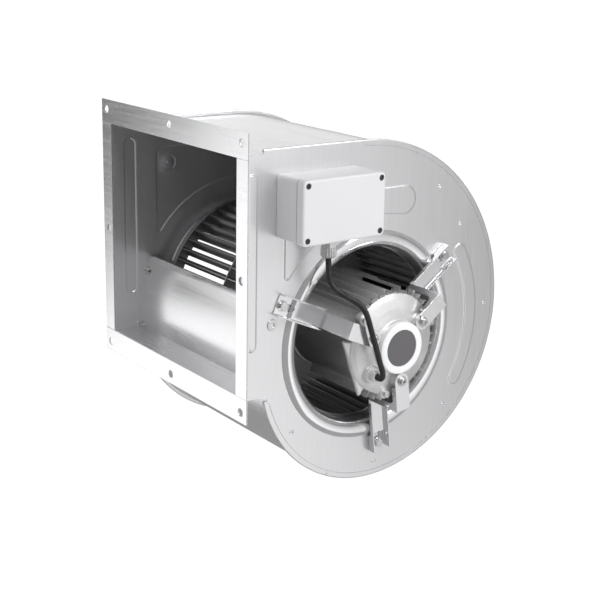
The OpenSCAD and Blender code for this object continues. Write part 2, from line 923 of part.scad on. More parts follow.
module motor_shaft() {
    color("silver") difference() {
        union() {
            axial(front_bearing_y - 1, core_front - 20, bearing_ir);
            axial(core_front - 20 - eps, core_rear + 16, 8);
            axial(core_rear + 16 - eps, rear_bearing_y + bearing_w, bearing_ir);
            axial(rear_bearing_y + bearing_w - eps, hub_len + 5, shaft_r);
        }
        at_angle(90) translate([shaft_r - 0.8, 0, -10]) cube([5, 40, 20]);
    }
}

module rotor_core() {
    color("slategray") union() {
        axial(core_front, core_rear, rotor_r, 8);
        axial(core_front - 5, core_front + eps, rotor_r - 4, 12);
        axial(core_rear - eps, core_rear + 5, rotor_r - 4, 12);
    }
}

side_plate_motor();
side_plate_rear();
scroll_wrap();
cutoff_lip();
outlet_floor();
flange_rail_top();
flange_rail_bottom();
flange_rail_left();
flange_rail_right();
inlet_ring_motor();
inlet_ring_rear();
tongue_rivets();
plate_rivnuts();
support_arm_left();
support_arm_right();
support_arm_bottom();
motor_bracket_left();
motor_bracket_right();
motor_bracket_bottom();
arm_screws();
arm_nuts();
bracket_bolts();
motor_frame();
motor_end_shield();
motor_rear_shield();
tie_bolts();
stator_core();
stator_windings();
bearing_outer_rings();
bearing_balls();
wave_washer();
shield_cap_ring();
shield_cap();
motor_gland();
motor_gland_nut();
motor_cable();
terminal_box();
terminal_box_lid();
lid_gasket();
lid_screws();
box_screws();
terminal_block();
run_capacitor();
box_gland();
box_gland_nut();
wheel_centre_disc();
wheel_hub();
hub_rivets();
hub_set_screw();
blades_motor_side();
blades_rear_side();
wheel_ring_motor();
wheel_ring_rear();
motor_shaft();
rotor_core();
bearing_inner_rings();
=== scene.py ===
"""Looks of a double-inlet centrifugal blower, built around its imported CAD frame.

Lengths below are in millimetres in the CAD frame: the origin is the centre of the outlet flange's
front face, +Z is up, the air leaves towards -X, and the motor is on the -Y side of the fan axis.
"""
import json
import math
from itertools import accumulate

import bmesh
import bpy
from mathutils import Matrix, Vector
from mathutils.geometry import delaunay_2d_cdt


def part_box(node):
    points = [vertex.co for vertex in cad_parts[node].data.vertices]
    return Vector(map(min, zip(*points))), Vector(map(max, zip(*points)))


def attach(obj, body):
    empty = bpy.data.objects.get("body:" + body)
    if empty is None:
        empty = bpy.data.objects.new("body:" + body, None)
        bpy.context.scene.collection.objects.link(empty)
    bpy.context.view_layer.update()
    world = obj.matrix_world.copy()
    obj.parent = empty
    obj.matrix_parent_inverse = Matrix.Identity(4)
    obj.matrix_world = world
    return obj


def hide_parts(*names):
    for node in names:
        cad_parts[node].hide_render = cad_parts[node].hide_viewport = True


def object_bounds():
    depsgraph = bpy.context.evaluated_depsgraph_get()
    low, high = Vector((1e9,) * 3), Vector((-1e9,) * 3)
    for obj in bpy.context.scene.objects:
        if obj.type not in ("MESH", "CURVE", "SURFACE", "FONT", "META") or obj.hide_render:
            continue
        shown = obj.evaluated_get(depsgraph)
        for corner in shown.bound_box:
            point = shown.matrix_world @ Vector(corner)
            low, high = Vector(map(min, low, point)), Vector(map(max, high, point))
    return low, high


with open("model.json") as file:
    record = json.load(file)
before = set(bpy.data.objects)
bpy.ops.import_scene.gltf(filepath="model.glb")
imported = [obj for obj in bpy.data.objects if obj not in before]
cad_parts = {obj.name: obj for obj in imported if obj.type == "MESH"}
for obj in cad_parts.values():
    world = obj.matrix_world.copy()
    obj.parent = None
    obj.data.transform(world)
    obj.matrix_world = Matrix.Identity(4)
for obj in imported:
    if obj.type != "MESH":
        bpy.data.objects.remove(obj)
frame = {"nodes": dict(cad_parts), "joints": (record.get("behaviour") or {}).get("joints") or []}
CAD_BOX = [list(corner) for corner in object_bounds()]

MM = 0.001


def lo(node):
    """Low corner of a node's box, in millimetres"""
    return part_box(node)[0] / MM


def hi(node):
    """High corner of a node's box, in millimetres"""
    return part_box(node)[1] / MM


# ---- Sizes taken from the frame ----

AXIS = Vector(frame["joints"][0]["pos_m"]) / MM
HALF_W = hi("outlet_floor").y
FLOOR_Z = hi("outlet_floor").z
HALF_H = -FLOOR_Z
SHEET = 1.2
PLATE = HALF_W + SHEET
RAIL_T = 1.5
FLANGE = hi("flange_rail_top").z
GROWTH = 26.0
WRAP_TOP = HALF_H + SHEET
SCROLL_R = WRAP_TOP - AXIS.z - 3 * GROWTH
SEAM_START_X = 34.0
PLATE_BOTTOM = FLOOR_Z - 10
SEAM_END_Z = PLATE_BOTTOM - 6
LIP_ANGLE = 29.0
THROAT_R = 105.3
PLATE_HOLE_R = THROAT_R + 7
BELL_R = 11.5
BELL_Y = PLATE + 4.1 - BELL_R

BODY_FIXED, BODY_WHEEL = "housing", "wheel"


# ---- Camera ----

CAMERA_AT = Vector((-694.5, -1191.8, 349.4)) * MM
CAMERA_FORWARD = Vector((0.60249, 0.76042, -0.24243)).normalized()
CAMERA_UP = Vector((0.12985, 0.20632, 0.96983))
SENSOR_MM, LENS_MM = 36, 73.5
LENS_SHIFT = (-0.0667, -0.0833)


def make_camera():
    """The camera, its lens shifted to place the object in the picture"""
    data = bpy.data.cameras.new("camera")
    data.sensor_width = SENSOR_MM
    data.lens = LENS_MM
    data.shift_x, data.shift_y = LENS_SHIFT
    data.clip_end = 50
    camera = bpy.data.objects.new("camera", data)
    bpy.context.scene.collection.objects.link(camera)
    right = CAMERA_FORWARD.cross(CAMERA_UP).normalized()
    up = right.cross(CAMERA_FORWARD)
    turn = Matrix((right, up, -CAMERA_FORWARD)).transposed()
    camera.matrix_world = Matrix.Translation(CAMERA_AT) @ turn.to_4x4()
    bpy.context.scene.camera = camera


make_camera()


# ---- Materials ----

class Nodes:
    """A small helper to build a material's node tree"""

    def __init__(self, name):
        self.material = bpy.data.materials.new(name)
        self.material.use_nodes = True
        self.tree = self.material.node_tree
        self.shader = self.tree.nodes["Principled BSDF"]
        self.coords = self.add("ShaderNodeTexCoord").outputs["Object"]

    def add(self, kind, **values):
        """Adds a node and sets its properties"""
        node = self.tree.nodes.new(kind)
        for key, value in values.items():
            setattr(node, key, value)
        return node

    def link(self, a, b):
        """Joins two sockets"""
        self.tree.links.new(a, b)

    def set(self, **values):
        """Sets inputs of the shader"""
        for key, value in values.items():
            self.shader.inputs[key.replace("_", " ")].default_value = value

    def stretched(self, scale):
        """Object coordinates, scaled by axis"""
        node = self.add("ShaderNodeMapping")
        node.inputs["Scale"].default_value = scale
        self.link(self.coords, node.inputs["Vector"])
        return node.outputs["Vector"]

    def noise(self, scale, stretch=(1, 1, 1), detail=4, roughness=0.55):
        """A noise pattern, from 0 to 1"""
        node = self.add("ShaderNodeTexNoise")
        node.inputs["Scale"].default_value = scale
        node.inputs["Detail"].default_value = detail
        node.inputs["Roughness"].default_value = roughness
        self.link(self.stretched(stretch), node.inputs["Vector"])
        return node.outputs["Fac"]

    def cells(self, scale, stretch=(1, 1, 1)):
        """A pattern of cells, like zinc crystals"""
        node = self.add("ShaderNodeTexVoronoi")
        node.inputs["Scale"].default_value = scale
        self.link(self.stretched(stretch), node.inputs["Vector"])
        return node.outputs["Color"]

    def remap(self, value, low, high, start=0.3, end=0.7):
        """Maps start to end onto low to high"""
        node = self.add("ShaderNodeMapRange")
        node.inputs["From Min"].default_value = start
        node.inputs["From Max"].default_value = end
        node.inputs["To Min"].default_value = low
        node.inputs["To Max"].default_value = high
        self.link(value, node.inputs["Value"])
        return node.outputs["Result"]

    def colours(self, value, dark, light, start=0.3, end=0.7):
        """Blends two colours by a value"""
        node = self.add("ShaderNodeValToRGB")
        node.color_ramp.elements[0].position = start
        node.color_ramp.elements[0].color = (*dark, 1)
        node.color_ramp.elements[1].position = end
        node.color_ramp.elements[1].color = (*light, 1)
        self.link(value, node.inputs["Fac"])
        return node.outputs["Color"]

    def sum(self, a, b, share):
        """a plus b times share"""
        node = self.add("ShaderNodeMath", operation="MULTIPLY_ADD")
        self.link(b, node.inputs[0])
        node.inputs[1].default_value = share
        self.link(a, node.inputs[2])
        return node.outputs["Value"]

    def bump(self, height, distance, strength=1.0):
        """Gives the surface fine relief"""
        node = self.add("ShaderNodeBump")
        node.inputs["Distance"].default_value = distance
        node.inputs["Strength"].default_value = strength
        self.link(height, node.inputs["Height"])
        self.link(node.outputs["Normal"], self.shader.inputs["Normal"])

    def drive(self, **sockets):
        """Links sockets to inputs of the shader"""
        for key, value in sockets.items():
            self.link(value, self.shader.inputs[key.replace("_", " ")])


def galvanised(name, light=0.80, rough=0.30, grain=(14, 14, 0.5), depth=0.000006):
    """Zinc-coated sheet: fine rolling streaks, soft clouding and faint crystals"""
    m = Nodes(name)
    m.set(Metallic=0.85)
    cloud = m.noise(9, (1, 1, 0.6), detail=3)
    streak = m.noise(22, grain, detail=4, roughness=0.6)
    shade = m.sum(m.sum(streak, cloud, 0.4), m.cells(110), 0.03)
    tone = [light * c for c in (0.985, 0.985, 1.0)]
    m.drive(
        Base_Color=m.colours(shade, [c * 0.96 for c in tone], [min(1, c * 1.02) for c in tone], 0.45, 0.95),
        Roughness=m.remap(shade, rough - 0.03, rough + 0.05, 0.45, 0.95),
    )
    m.bump(m.sum(streak, m.noise(700, detail=2), 0.3), depth)
    return m.material


def zinc(name="zinc_plated", light=0.72, rough=0.26):
    """Plated or polished metal with a fine grain"""
    m = Nodes(name)
    m.set(Metallic=1.0)
    grain = m.noise(300, detail=3)
    m.drive(
        Base_Color=m.colours(grain, [light * 0.9] * 3, [light * 1.05] * 3),
        Roughness=m.remap(grain, rough - 0.05, rough + 0.1),
    )
    m.bump(grain, 0.00002)
    return m.material


def cast_aluminium(name="cast_aluminium", light=0.78, rough=0.38, metallic=0.7):
    """Cast metal with pores and soft flow marks"""
    m = Nodes(name)
    m.set(Metallic=metallic)
    pores = m.noise(420, detail=5, roughness=0.65)
    flow = m.noise(40, (1, 0.3, 1), detail=3)
    m.drive(
        Base_Color=m.colours(m.sum(flow, pores, 0.4), [light * 0.84] * 3, [light * 1.04] * 3, 0.5, 0.9),
        Roughness=m.remap(pores, rough - 0.05, rough + 0.12),
    )
    m.bump(m.sum(pores, flow, 0.6), 0.00012, 0.6)
    return m.material


def plastic(name, colour, rough=0.38, texture=0.00002):
    """Moulded plastic with a fine surface texture"""
    m = Nodes(name)
    grain = m.noise(1400, detail=2)
    cloud = m.noise(18, detail=2)
    m.set(Specular_IOR_Level=0.5)
    m.drive(
        Base_Color=m.colours(cloud, [c * 0.97 for c in colour], colour),
        Roughness=m.remap(cloud, rough - 0.03, rough + 0.05),
    )
    m.bump(grain, texture)
    return m.material


def dull_metal(name, colour, rough=0.5, metallic=1.0):
    """Unpolished metal with a grain that is finest along Y"""
    m = Nodes(name)
    m.set(Metallic=metallic)
    grain = m.noise(160, (1, 8, 1), detail=4)
    m.drive(
        Base_Color=m.colours(grain, [c * 0.8 for c in colour], colour),
        Roughness=m.remap(grain, rough - 0.08, rough + 0.08),
    )
    m.bump(grain, 0.00004)
    return m.material


def winding_copper():
    """Varnished copper wire laid round the bore"""
    m = Nodes("winding_copper")
    m.set(Metallic=0.85)
    wire = m.add("ShaderNodeTexWave", wave_type="RINGS", rings_direction="Y")
    wire.inputs["Scale"].default_value = 260
    wire.inputs["Distortion"].default_value = 1.5
    m.link(m.coords, wire.inputs["Vector"])
    m.drive(
        Base_Color=m.colours(wire.outputs["Fac"], (0.30, 0.12, 0.05), (0.72, 0.36, 0.17)),
        Roughness=m.remap(wire.outputs["Fac"], 0.28, 0.5),
    )
    m.bump(wire.outputs["Fac"], 0.0003)
    return m.material


def cable_rubber():
    """Black sheath of the cable"""
    m = Nodes("cable_rubber")
    cloud = m.noise(120, detail=3)
    m.set(Specular_IOR_Level=0.5)
    m.drive(
        Base_Color=m.colours(cloud, (0.012, 0.011, 0.012), (0.022, 0.020, 0.022)),
        Roughness=m.remap(cloud, 0.30, 0.42),
    )
    m.bump(m.noise(1500, detail=2), 0.00002)
    return m.material


SHEET_PLATE = galvanised("galvanised_plate", 0.80, 0.30)
SHEET_WRAP = galvanised("galvanised_wrap", 0.78, 0.24, (14, 0.5, 14))
SHEET_FLANGE = galvanised("galvanised_flange", 0.82, 0.24, (10, 0.5, 10), 0.0000015)
SHEET_BRIGHT = galvanised("galvanised_bright", 0.86, 0.13, (3, 3, 3), 0.000002)
SHEET_WHEEL = galvanised("galvanised_wheel", 0.42, 0.30)
ZINC = zinc()
ALUMINIUM = cast_aluminium()
# The motor frame is one casting: the tube between the fins gets a darker, more metallic copy of cast
# aluminium as painted shade, and the fins a lighter copy as painted light.
PAINTED_SHADE_TUBE_ALUMINIUM = cast_aluminium("painted_shade_tube_aluminium", 0.62, 0.32, 0.93)
PAINTED_LIGHT_FIN_ALUMINIUM = cast_aluminium("painted_light_fin_aluminium", 0.86, 0.30, 0.82)
BOX_PLASTIC = plastic("box_plastic", (0.665, 0.655, 0.67))
CAP_WHITE = plastic("cap_white", (0.82, 0.82, 0.83), 0.34)
CAP_GREY = plastic("cap_grey", (0.115, 0.11, 0.115), 0.55, 0.00004)
DARK_SCREW = plastic("dark_screw", (0.030, 0.029, 0.030), 0.4)
BLOCK_WHITE = plastic("block_white", (0.7, 0.69, 0.64), 0.45)
GASKET = plastic("gasket_rubber", (0.09, 0.09, 0.09), 0.6)
LAMINATION = dull_metal("laminations", (0.30, 0.31, 0.33), 0.5)
BEARING = zinc("bearing_steel", 0.62, 0.18)
COPPER = winding_copper()
CABLE = cable_rubber()
NICKEL = zinc("nickel_plated", 0.80, 0.36)


# ---- Mesh helpers ----

SHARP = math.radians(32)


def finish_mesh(bm, name, material, sharp=SHARP):
    """Makes an object of a bmesh in millimetres, with smooth faces and sharp creases"""
    bmesh.ops.remove_doubles(bm, verts=bm.verts, dist=1e-4)
    bmesh.ops.recalc_face_normals(bm, faces=bm.faces)
    for face in bm.faces:
        face.smooth = True
    for edge in bm.edges:
        if len(edge.link_faces) == 2:
            edge.smooth = edge.calc_face_angle(0) < sharp
    bmesh.ops.scale(bm, vec=(MM, MM, MM), verts=bm.verts)
    mesh = bpy.data.meshes.new(name)
    bm.to_mesh(mesh)
    bm.free()
    piece = bpy.data.objects.new(name, mesh)
    bpy.context.scene.collection.objects.link(piece)
    mesh.materials.append(material)
    return piece


def place(piece, node, body=BODY_FIXED):
    """The piece stands for that CAD node and rides on its body"""
    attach(piece, body)
    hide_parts(*([node] if isinstance(node, str) else node))
    return piece


def loft(bm, rings, closed=True, cap=(False, False)):
    """Joins rings of points with quads. closed joins each ring's last point to its first."""
    rows = [[bm.verts.new(p) for p in ring] for ring in rings]
    count = len(rows[0])
    for a, b in zip(rows, rows[1:]):
        for i in range(count if closed else count - 1):
            j = (i + 1) % count
            bm.faces.new((a[i], a[j], b[j], b[i]))
    if cap[0]:
        bm.faces.new(rows[0][::-1])
    if cap[1]:
        bm.faces.new(rows[-1])
    return rows


def revolve(bm, profile, steps=144, closed=False):
    """Turns a profile of (radius, y) points about the fan axis"""
    rings = []
    for r, y in profile:
        rings.append([
            (AXIS.x + r * math.cos(a), y, AXIS.z + r * math.sin(a))
            for a in (2 * math.pi * i / steps for i in range(steps))
        ])
    if closed:
        rings.append(rings[0])
    loft(bm, rings)


def arc(centre, r, start, end, step):
    """Points on an arc, angles in degrees"""
    count = max(2, round(abs(end - start) / step))
    angles = [math.radians(start + (end - start) * i / count) for i in range(count + 1)]
    return [Vector((centre[0] + r * math.cos(a), centre[1] + r * math.sin(a))) for a in angles]


def evaluated_copy(piece):
    """Applies all of an object's modifiers to its mesh"""
    bpy.context.view_layer.update()
    graph = bpy.context.evaluated_depsgraph_get()
    mesh = bpy.data.meshes.new_from_object(piece.evaluated_get(graph))
    piece.modifiers.clear()
    piece.data = mesh
    return piece


def refined(node, material, bevel=0.3, body=BODY_FIXED, sharp=SHARP, segments=2):
    """A copy of a CAD node with its flat faces merged and its edges rounded"""
    bm = bmesh.new()
    bm.from_mesh(frame["nodes"][node].data)
    bmesh.ops.scale(bm, vec=(1 / MM,) * 3, verts=bm.verts)
    bmesh.ops.remove_doubles(bm, verts=bm.verts, dist=2e-3)
    bmesh.ops.dissolve_limit(bm, angle_limit=math.radians(0.6), verts=bm.verts, edges=bm.edges)
    piece = finish_mesh(bm, node + "_detail", material, sharp)
    if bevel:
        round_edges = piece.modifiers.new("round", "BEVEL")
        round_edges.width = bevel * MM
        round_edges.segments = segments
        round_edges.limit_method = "ANGLE"
        round_edges.angle_limit = math.radians(38)
        round_edges.use_clamp_overlap = False
        round_edges.harden_normals = False
        evaluated_copy(piece)
        weight_normals(piece)
    return place(piece, node, body)


def weight_normals(piece):
    """Weights the normals by face area, so that flat faces look flat"""
    weighted = piece.modifiers.new("weighted", "WEIGHTED_NORMAL")
    weighted.keep_sharp = True
    evaluated_copy(piece)


def cut(piece, cutter):
    """Takes the cutter's shape out of the piece"""
    tool = piece.modifiers.new("cut", "BOOLEAN")
    tool.object = cutter
    tool.solver = "EXACT"
    evaluated_copy(piece)
    bpy.data.objects.remove(cutter)


# ---- Scroll outline ----

HALF_GROWTH = GROWTH / 2
CENTRES = [
    (AXIS.x - HALF_GROWTH, AXIS.z - HALF_GROWTH), (AXIS.x + HALF_GROWTH, AXIS.z - HALF_GROWTH),
    (AXIS.x + HALF_GROWTH, AXIS.z + HALF_GROWTH), (AXIS.x - HALF_GROWTH, AXIS.z + HALF_GROWTH),
]
RADII = [SCROLL_R + HALF_GROWTH + i * GROWTH for i in (-1, 0, 1, 2)]


def scroll_arcs(grow, end_angle, step=3):
    """The scroll from above the outlet round to the end angle on the lower left arc"""
    points = arc(CENTRES[3], RADII[3] + grow, 90, 0, step)
    points += arc(CENTRES[2], RADII[2] + grow, 0, -90, step)[1:]
    points += arc(CENTRES[1], RADII[1] + grow, -90, end_angle, step)[1:]
    return points


def angle_at(z, grow):
    """Angle on the lower left arc at which the scroll reaches a height"""
    return -180 - math.degrees(math.asin((z - CENTRES[1][1]) / (RADII[1] + grow)))


# ---- Side plates ----

EMBOSS = 0.9
EMBOSS_STEP = 1.5
EMBOSS_LOOPS = [(-0.9, 0), (0, 0), (0.33, 0.2), (0.5, 0.5), (0.67, 0.8), (1, 1), (1.6, 1)]


def rounded(points, radii, step=12):
    """A closed outline with its corners rounded, each by its own radius"""
    out = []
    count = len(points)
    for i, p in enumerate(points):
        p = Vector(p)
        r = radii[i] if isinstance(radii, (list, tuple)) else radii
        a = (Vector(points[i - 1]) - p).normalized()
        b = (Vector(points[(i + 1) % count]) - p).normalized()
        half = a.angle(b) / 2
        if r <= 0 or half > math.radians(88):
            out.append(p)
            continue
        centre = p + (a + b).normalized() * r / math.sin(half)
        start = p + a * r / math.tan(half) - centre
        turn = a.angle_signed(b)
        sweep = (math.pi - 2 * half) * (1 if turn > 0 else -1)
        steps = max(2, round(math.degrees(abs(sweep)) / step))
        for k in range(steps + 1):
            out.append(centre + Matrix.Rotation(sweep * k / steps, 2) @ start)
    return out


def resampled(points, spacing):
    """A closed outline with no stretch longer than the spacing"""
    out = []
    for a, b in zip(points, points[1:] + points[:1]):
        pieces = max(1, math.ceil((b - a).length / spacing))
        out += [a.lerp(b, k / pieces) for k in range(pieces)]
    return out


def signed_area(points):
    """Area of a closed outline, positive when it runs anticlockwise"""
    return sum(a.x * b.y - b.x * a.y for a, b in zip(points, points[1:] + points[:1])) / 2


def inset(points, distance):
    """A closed outline moved inward by a small distance"""
    side = 1 if signed_area(points) > 0 else -1
    out = []
    for i, p in enumerate(points):
        t = (points[(i + 1) % len(points)] - points[i - 1]).normalized()
        out.append(p + Vector((-t.y, t.x)) * distance * side)
    return out


def obround(x0, x1, z0, z1):
    """A slot with fully rounded ends"""
    r = min(x1 - x0, z1 - z0) / 2 - 0.01
    return rounded([(x0, z0), (x1, z0), (x1, z1), (x0, z1)], r)


def crescent(centre, r0, r1, start, end):
    """A band between two radii, its ends rounded off"""
    outer = arc(centre, r1, start, end, 3)
    inner = arc(centre, r0, end, start, 3)
    points = outer + inner
    radii = [0] * len(points)
    for corner in (0, len(outer) - 1, len(outer), len(points) - 1):
        radii[corner] = (r1 - r0) / 2 - 1
    return rounded(points, radii)


def duct_panel():
    """The large embossed panel over the inlet: square at its left, round at its right end"""
    keep_out = 144.5
    left, top, right_centre, right_r = 62.0, 98.0, (233, 62), 17.5
    shoulder = right_centre[1] + right_r
    lower = arc((AXIS.x, AXIS.z), keep_out, 144.5, 82, 4)
    end = arc(right_centre, right_r, -90, 90, 10)
    points = [Vector((left, -12)), *lower, *end]
    points += [Vector((182, shoulder)), Vector((166, top)), Vector((left, top))]
    radii = [4] + [0] * (len(lower) + len(end)) + [12, 12, 9]
    radii[1] = 4
    return rounded(points, radii)


CRESCENT_RADII = (153, 172.5)
CRESCENT_ANGLES = (-33, 34)
SLOT_PANEL_Z = (-86, 112)
SLOT_PANEL_X = {"near": (11, 26), "far": (17, 34)}


def emboss_outlines(near):
    """The raised panels of a plate: a tall slot, the duct panel and a crescent"""
    x0, x1 = SLOT_PANEL_X["near" if near else "far"]
    return [
        obround(x0, x1, *SLOT_PANEL_Z),
        duct_panel(),
        crescent((AXIS.x, AXIS.z), *CRESCENT_RADII, *CRESCENT_ANGLES),
    ]


CLINCHES = [(288.5, 73), (325, 23), (373, -86), (309, -207), (200, -258), (76, -192)]
CLINCH_LOOPS = [(3.6, 0), (3.0, 0), (2.7, -1.1), (1.9, -1.3), (1.3, -0.6), (0.6, -0.4)]
KNOCKOUT_AT = (80, 77)
KNOCKOUT_LOOPS = [
    (11.6, 0), (11.0, 0), (10.7, -0.7), (10.3, -0.7), (10.0, 0), (9.0, 0), (2.2, 0), (1.9, -0.9),
]
FILL_STEP = 11
FILL_FROM = (RAIL_T + 4, -275)
FILL_COLUMNS = int((RADII[2] * 2 + 60) / FILL_STEP)
FILL_ROWS = 40
HEM_LOOPS = [(3.2, 0), (-1.5, 0), (-1.7, -0.8), (-2.1, -0.8), (-2.3, 0), (-3.4, 0)]


def plate_outline(grow):
    """Outline of the flat of a plate: the flange side, the step at the seam, then the scroll"""
    end = angle_at(SEAM_END_Z, grow)
    points = [Vector((RAIL_T, PLATE_BOTTOM)), Vector((RAIL_T, WRAP_TOP))]
    points += [Vector((SEAM_START_X, WRAP_TOP)), Vector((SEAM_START_X, WRAP_TOP + grow))]
    points += scroll_arcs(grow, end)
    points += arc(CENTRES[1], RADII[1], angle_at(SEAM_END_Z, 0), angle_at(PLATE_BOTTOM, 0), 1)
    return points


def inside(point, outline):
    """True if the point lies within a closed outline"""
    hit = False
    for a, b in zip(outline, outline[1:] + outline[:1]):
        if (a.y > point.y) != (b.y > point.y):
            if point.x < a.x + (point.y - a.y) * (b.x - a.x) / (b.y - a.y):
                hit = not hit
    return hit


def edge_distance(point, outline):
    """Shortest distance from a point to a closed outline"""
    best = 1e9
    for a, b in zip(outline, outline[1:] + outline[:1]):
        d = b - a
        t = max(0, min(1, (point - a).dot(d) / max(d.length_squared, 1e-9)))
        best = min(best, (a + d * t - point).length)
    return best


class Sheet:
    """Points and edges of a flat sheet, with the height of each point, to be triangulated"""

    def __init__(self):
        self.points, self.heights, self.edges, self.keep_out = [], [], [], []

    def loop(self, points, height, edges=True):
        """Adds a closed line of points at a height"""
        first = len(self.points)
        self.points += points
        self.heights += [height] * len(points)
        if edges:
            count = len(points)
            self.edges += [(first + i, first + (i + 1) % count) for i in range(count)]

    def circles(self, at, loops, steps=20):
        """Adds rings of (radius, height) round a place, kept clear of filling points"""
        for r, h in loops:
            self.loop([Vector(at) + p for p in arc((0, 0), r, 0, 360 - 360 / steps, 360 / steps)], h)
        self.keep_out.append(resampled(arc(at, loops[0][0] + 1, 0, 345, 15), 4))


def side_plate(node, side, material, near):
    """A plate with its embossed panels, clinch points, hemmed rim and turned-out front edge"""
    sheet = Sheet()
    outer = resampled(plate_outline(HEM_LOOPS[0][0]), 6)
    hole = resampled(arc((AXIS.x, AXIS.z), PLATE_HOLE_R, 0, 357, 3), 8)
    sheet.loop(outer, 0)
    sheet.loop(hole, 0)
    tops = []
    for outline in emboss_outlines(near):
        outline = resampled(outline, 3)
        for share, rise in EMBOSS_LOOPS:
            sheet.loop(inset(outline, share * EMBOSS_STEP), rise * EMBOSS)
        tops.append(inset(outline, 1.6 * EMBOSS_STEP))
        sheet.keep_out.append(outline)
    for at in CLINCHES:
        sheet.circles(at, CLINCH_LOOPS)
    if not near:
        sheet.circles(KNOCKOUT_AT, KNOCKOUT_LOOPS, 32)
    for grow, rise in HEM_LOOPS[1:]:
        band = scroll_arcs(grow, angle_at(SEAM_END_Z, 0) + 2)
        first = len(sheet.points)
        sheet.points += band
        sheet.heights += [rise] * len(band)
        sheet.edges += [(first + i, first + i + 1) for i in range(len(band) - 1)]
    band = scroll_arcs(-1.5, angle_at(SEAM_END_Z, 0) + 2)
    for i in range(FILL_COLUMNS):
        for k in range(FILL_ROWS):
            shift = (k % 2) * FILL_STEP / 2
            p = Vector((FILL_FROM[0] + i * FILL_STEP + shift, FILL_FROM[1] + k * FILL_STEP))
            if not inside(p, outer) or (p - Vector((AXIS.x, AXIS.z))).length < PLATE_HOLE_R + 5:
                continue
            if edge_distance(p, outer) < 5 or min((p - q).length for q in band) < 7:
                continue
            if min(edge_distance(p, o) for o in sheet.keep_out) < 4:
                continue
            sheet.points.append(p)
            sheet.heights.append(EMBOSS if any(inside(p, t) for t in tops) else 0)
    found = delaunay_2d_cdt(sheet.points, sheet.edges, [], 0, 1e-4)
    verts, faces, origin = found[0], found[2], found[3]
    height = [max((sheet.heights[k] for k in ids), key=abs) if ids else 0 for ids in origin]
    bm = bmesh.new()
    rows = [
        bm.verts.new((p.x, side * (PLATE + h), p.y)) for p, h in zip(verts, height)
    ]
    centre = Vector((AXIS.x, AXIS.z))
    for face in faces:
        middle = sum((verts[i] for i in face), Vector((0, 0))) / len(face)
        if (middle - centre).length > PLATE_HOLE_R and inside(middle, outer):
            bm.faces.new([rows[i] for i in face])
    for v in [v for v in bm.verts if not v.link_faces]:
        bm.verts.remove(v)
    bmesh.ops.recalc_face_normals(bm, faces=bm.faces)
    if sum(f.normal.y * f.calc_area() for f in bm.faces) * side < 0:
        bmesh.ops.reverse_faces(bm, faces=bm.faces)
    piece = finish_sheet(bm, node + "_sheet", material)
    rim = bmesh.new()
    add_rim(rim, side)
    add_front_edge(rim, side)
    fold = finish_mesh(rim, node + "_fold", material)
    join(piece, fold)
    return place(piece, node)


def finish_sheet(bm, name, material, thickness=SHEET):
    """Makes an object of an open bmesh sheet and gives it its thickness, behind its faces"""
    for face in bm.faces:
        face.smooth = True
    bmesh.ops.scale(bm, vec=(MM, MM, MM), verts=bm.verts)
    mesh = bpy.data.meshes.new(name)
    bm.to_mesh(mesh)
    bm.free()
    piece = bpy.data.objects.new(name, mesh)
    bpy.context.scene.collection.objects.link(piece)
    mesh.materials.append(material)
    solid = piece.modifiers.new("thickness", "SOLIDIFY")
    solid.thickness = thickness * MM
    solid.offset = -1
    evaluated_copy(piece)
    bm = bmesh.new()
    bm.from_mesh(piece.data)
    for edge in bm.edges:
        if len(edge.link_faces) == 2:
            edge.smooth = edge.calc_face_angle(0) < math.radians(60)
    bm.to_mesh(piece.data)
    bm.free()
    return piece


def join(piece, other):
    """Adds another object's mesh to the piece"""
    bm = bmesh.new()
    bm.from_mesh(piece.data)
    bm.from_mesh(other.data)
    bm.to_mesh(piece.data)
    bm.free()
    bpy.data.objects.remove(other)


HEM_PROFILE = [
    (3.2, 0), (4.0, 0.05), (4.6, 0.35), (4.93, 0.9), (5.0, 1.6), (5.0, 2.6), (4.7, 3.3), (4.0, 3.6),
    (1.2, 3.6), (1.2, 2.5), (3.2, 2.4),
]


def add_rim(bm, side):
    """The folded hem round the scroll, swept along the outline"""
    end = angle_at(SEAM_END_Z, 2)
    rings = []
    starts = [Vector((SEAM_START_X, WRAP_TOP)), Vector((CENTRES[3][0] - 1, WRAP_TOP))]
    for base in starts:
        rings.append([(base.x, side * (PLATE - q), base.y + n) for n, q in HEM_PROFILE])
    for c, r, a0, a1 in (
        (CENTRES[3], RADII[3], 90, 0), (CENTRES[2], RADII[2], 0, -90),
        (CENTRES[1], RADII[1], -90, end),
    ):
        count = max(2, round(abs(a1 - a0) / 3))
        for i in range(count + 1):
            a = math.radians(a0 + (a1 - a0) * i / count)
            rings.append([
                (c[0] + (r + n) * math.cos(a), side * (PLATE - q), c[1] + (r + n) * math.sin(a))
                for n, q in HEM_PROFILE
            ])
    loft(bm, rings, cap=(True, True))


def add_front_edge(bm, side):
    """The plate's front edge, bent outward behind the flange rail"""
    bend = 2.0
    outline = [(RAIL_T + bend, PLATE)]
    outline += [
        (RAIL_T + bend - bend * math.sin(a), PLATE + bend - bend * math.cos(a))
        for a in (math.radians(15 * k) for k in range(1, 7))
    ]
    outline.append((RAIL_T, FLANGE - 0.5))
    back = [(RAIL_T + SHEET, FLANGE - 0.5), (RAIL_T + SHEET, PLATE + bend), (RAIL_T + bend, PLATE + 0.9)]
    rings = []
    for z in (FLOOR_Z, HALF_H):
        rings.append([(x, side * y, z) for x, y in outline + back])
    loft(bm, rings, cap=(True, True))


side_plate("side_plate_motor", -1, SHEET_PLATE, True)
side_plate("side_plate_rear", 1, SHEET_PLATE, False)


# ---- Scroll wrap, outlet floor and cut-off ----

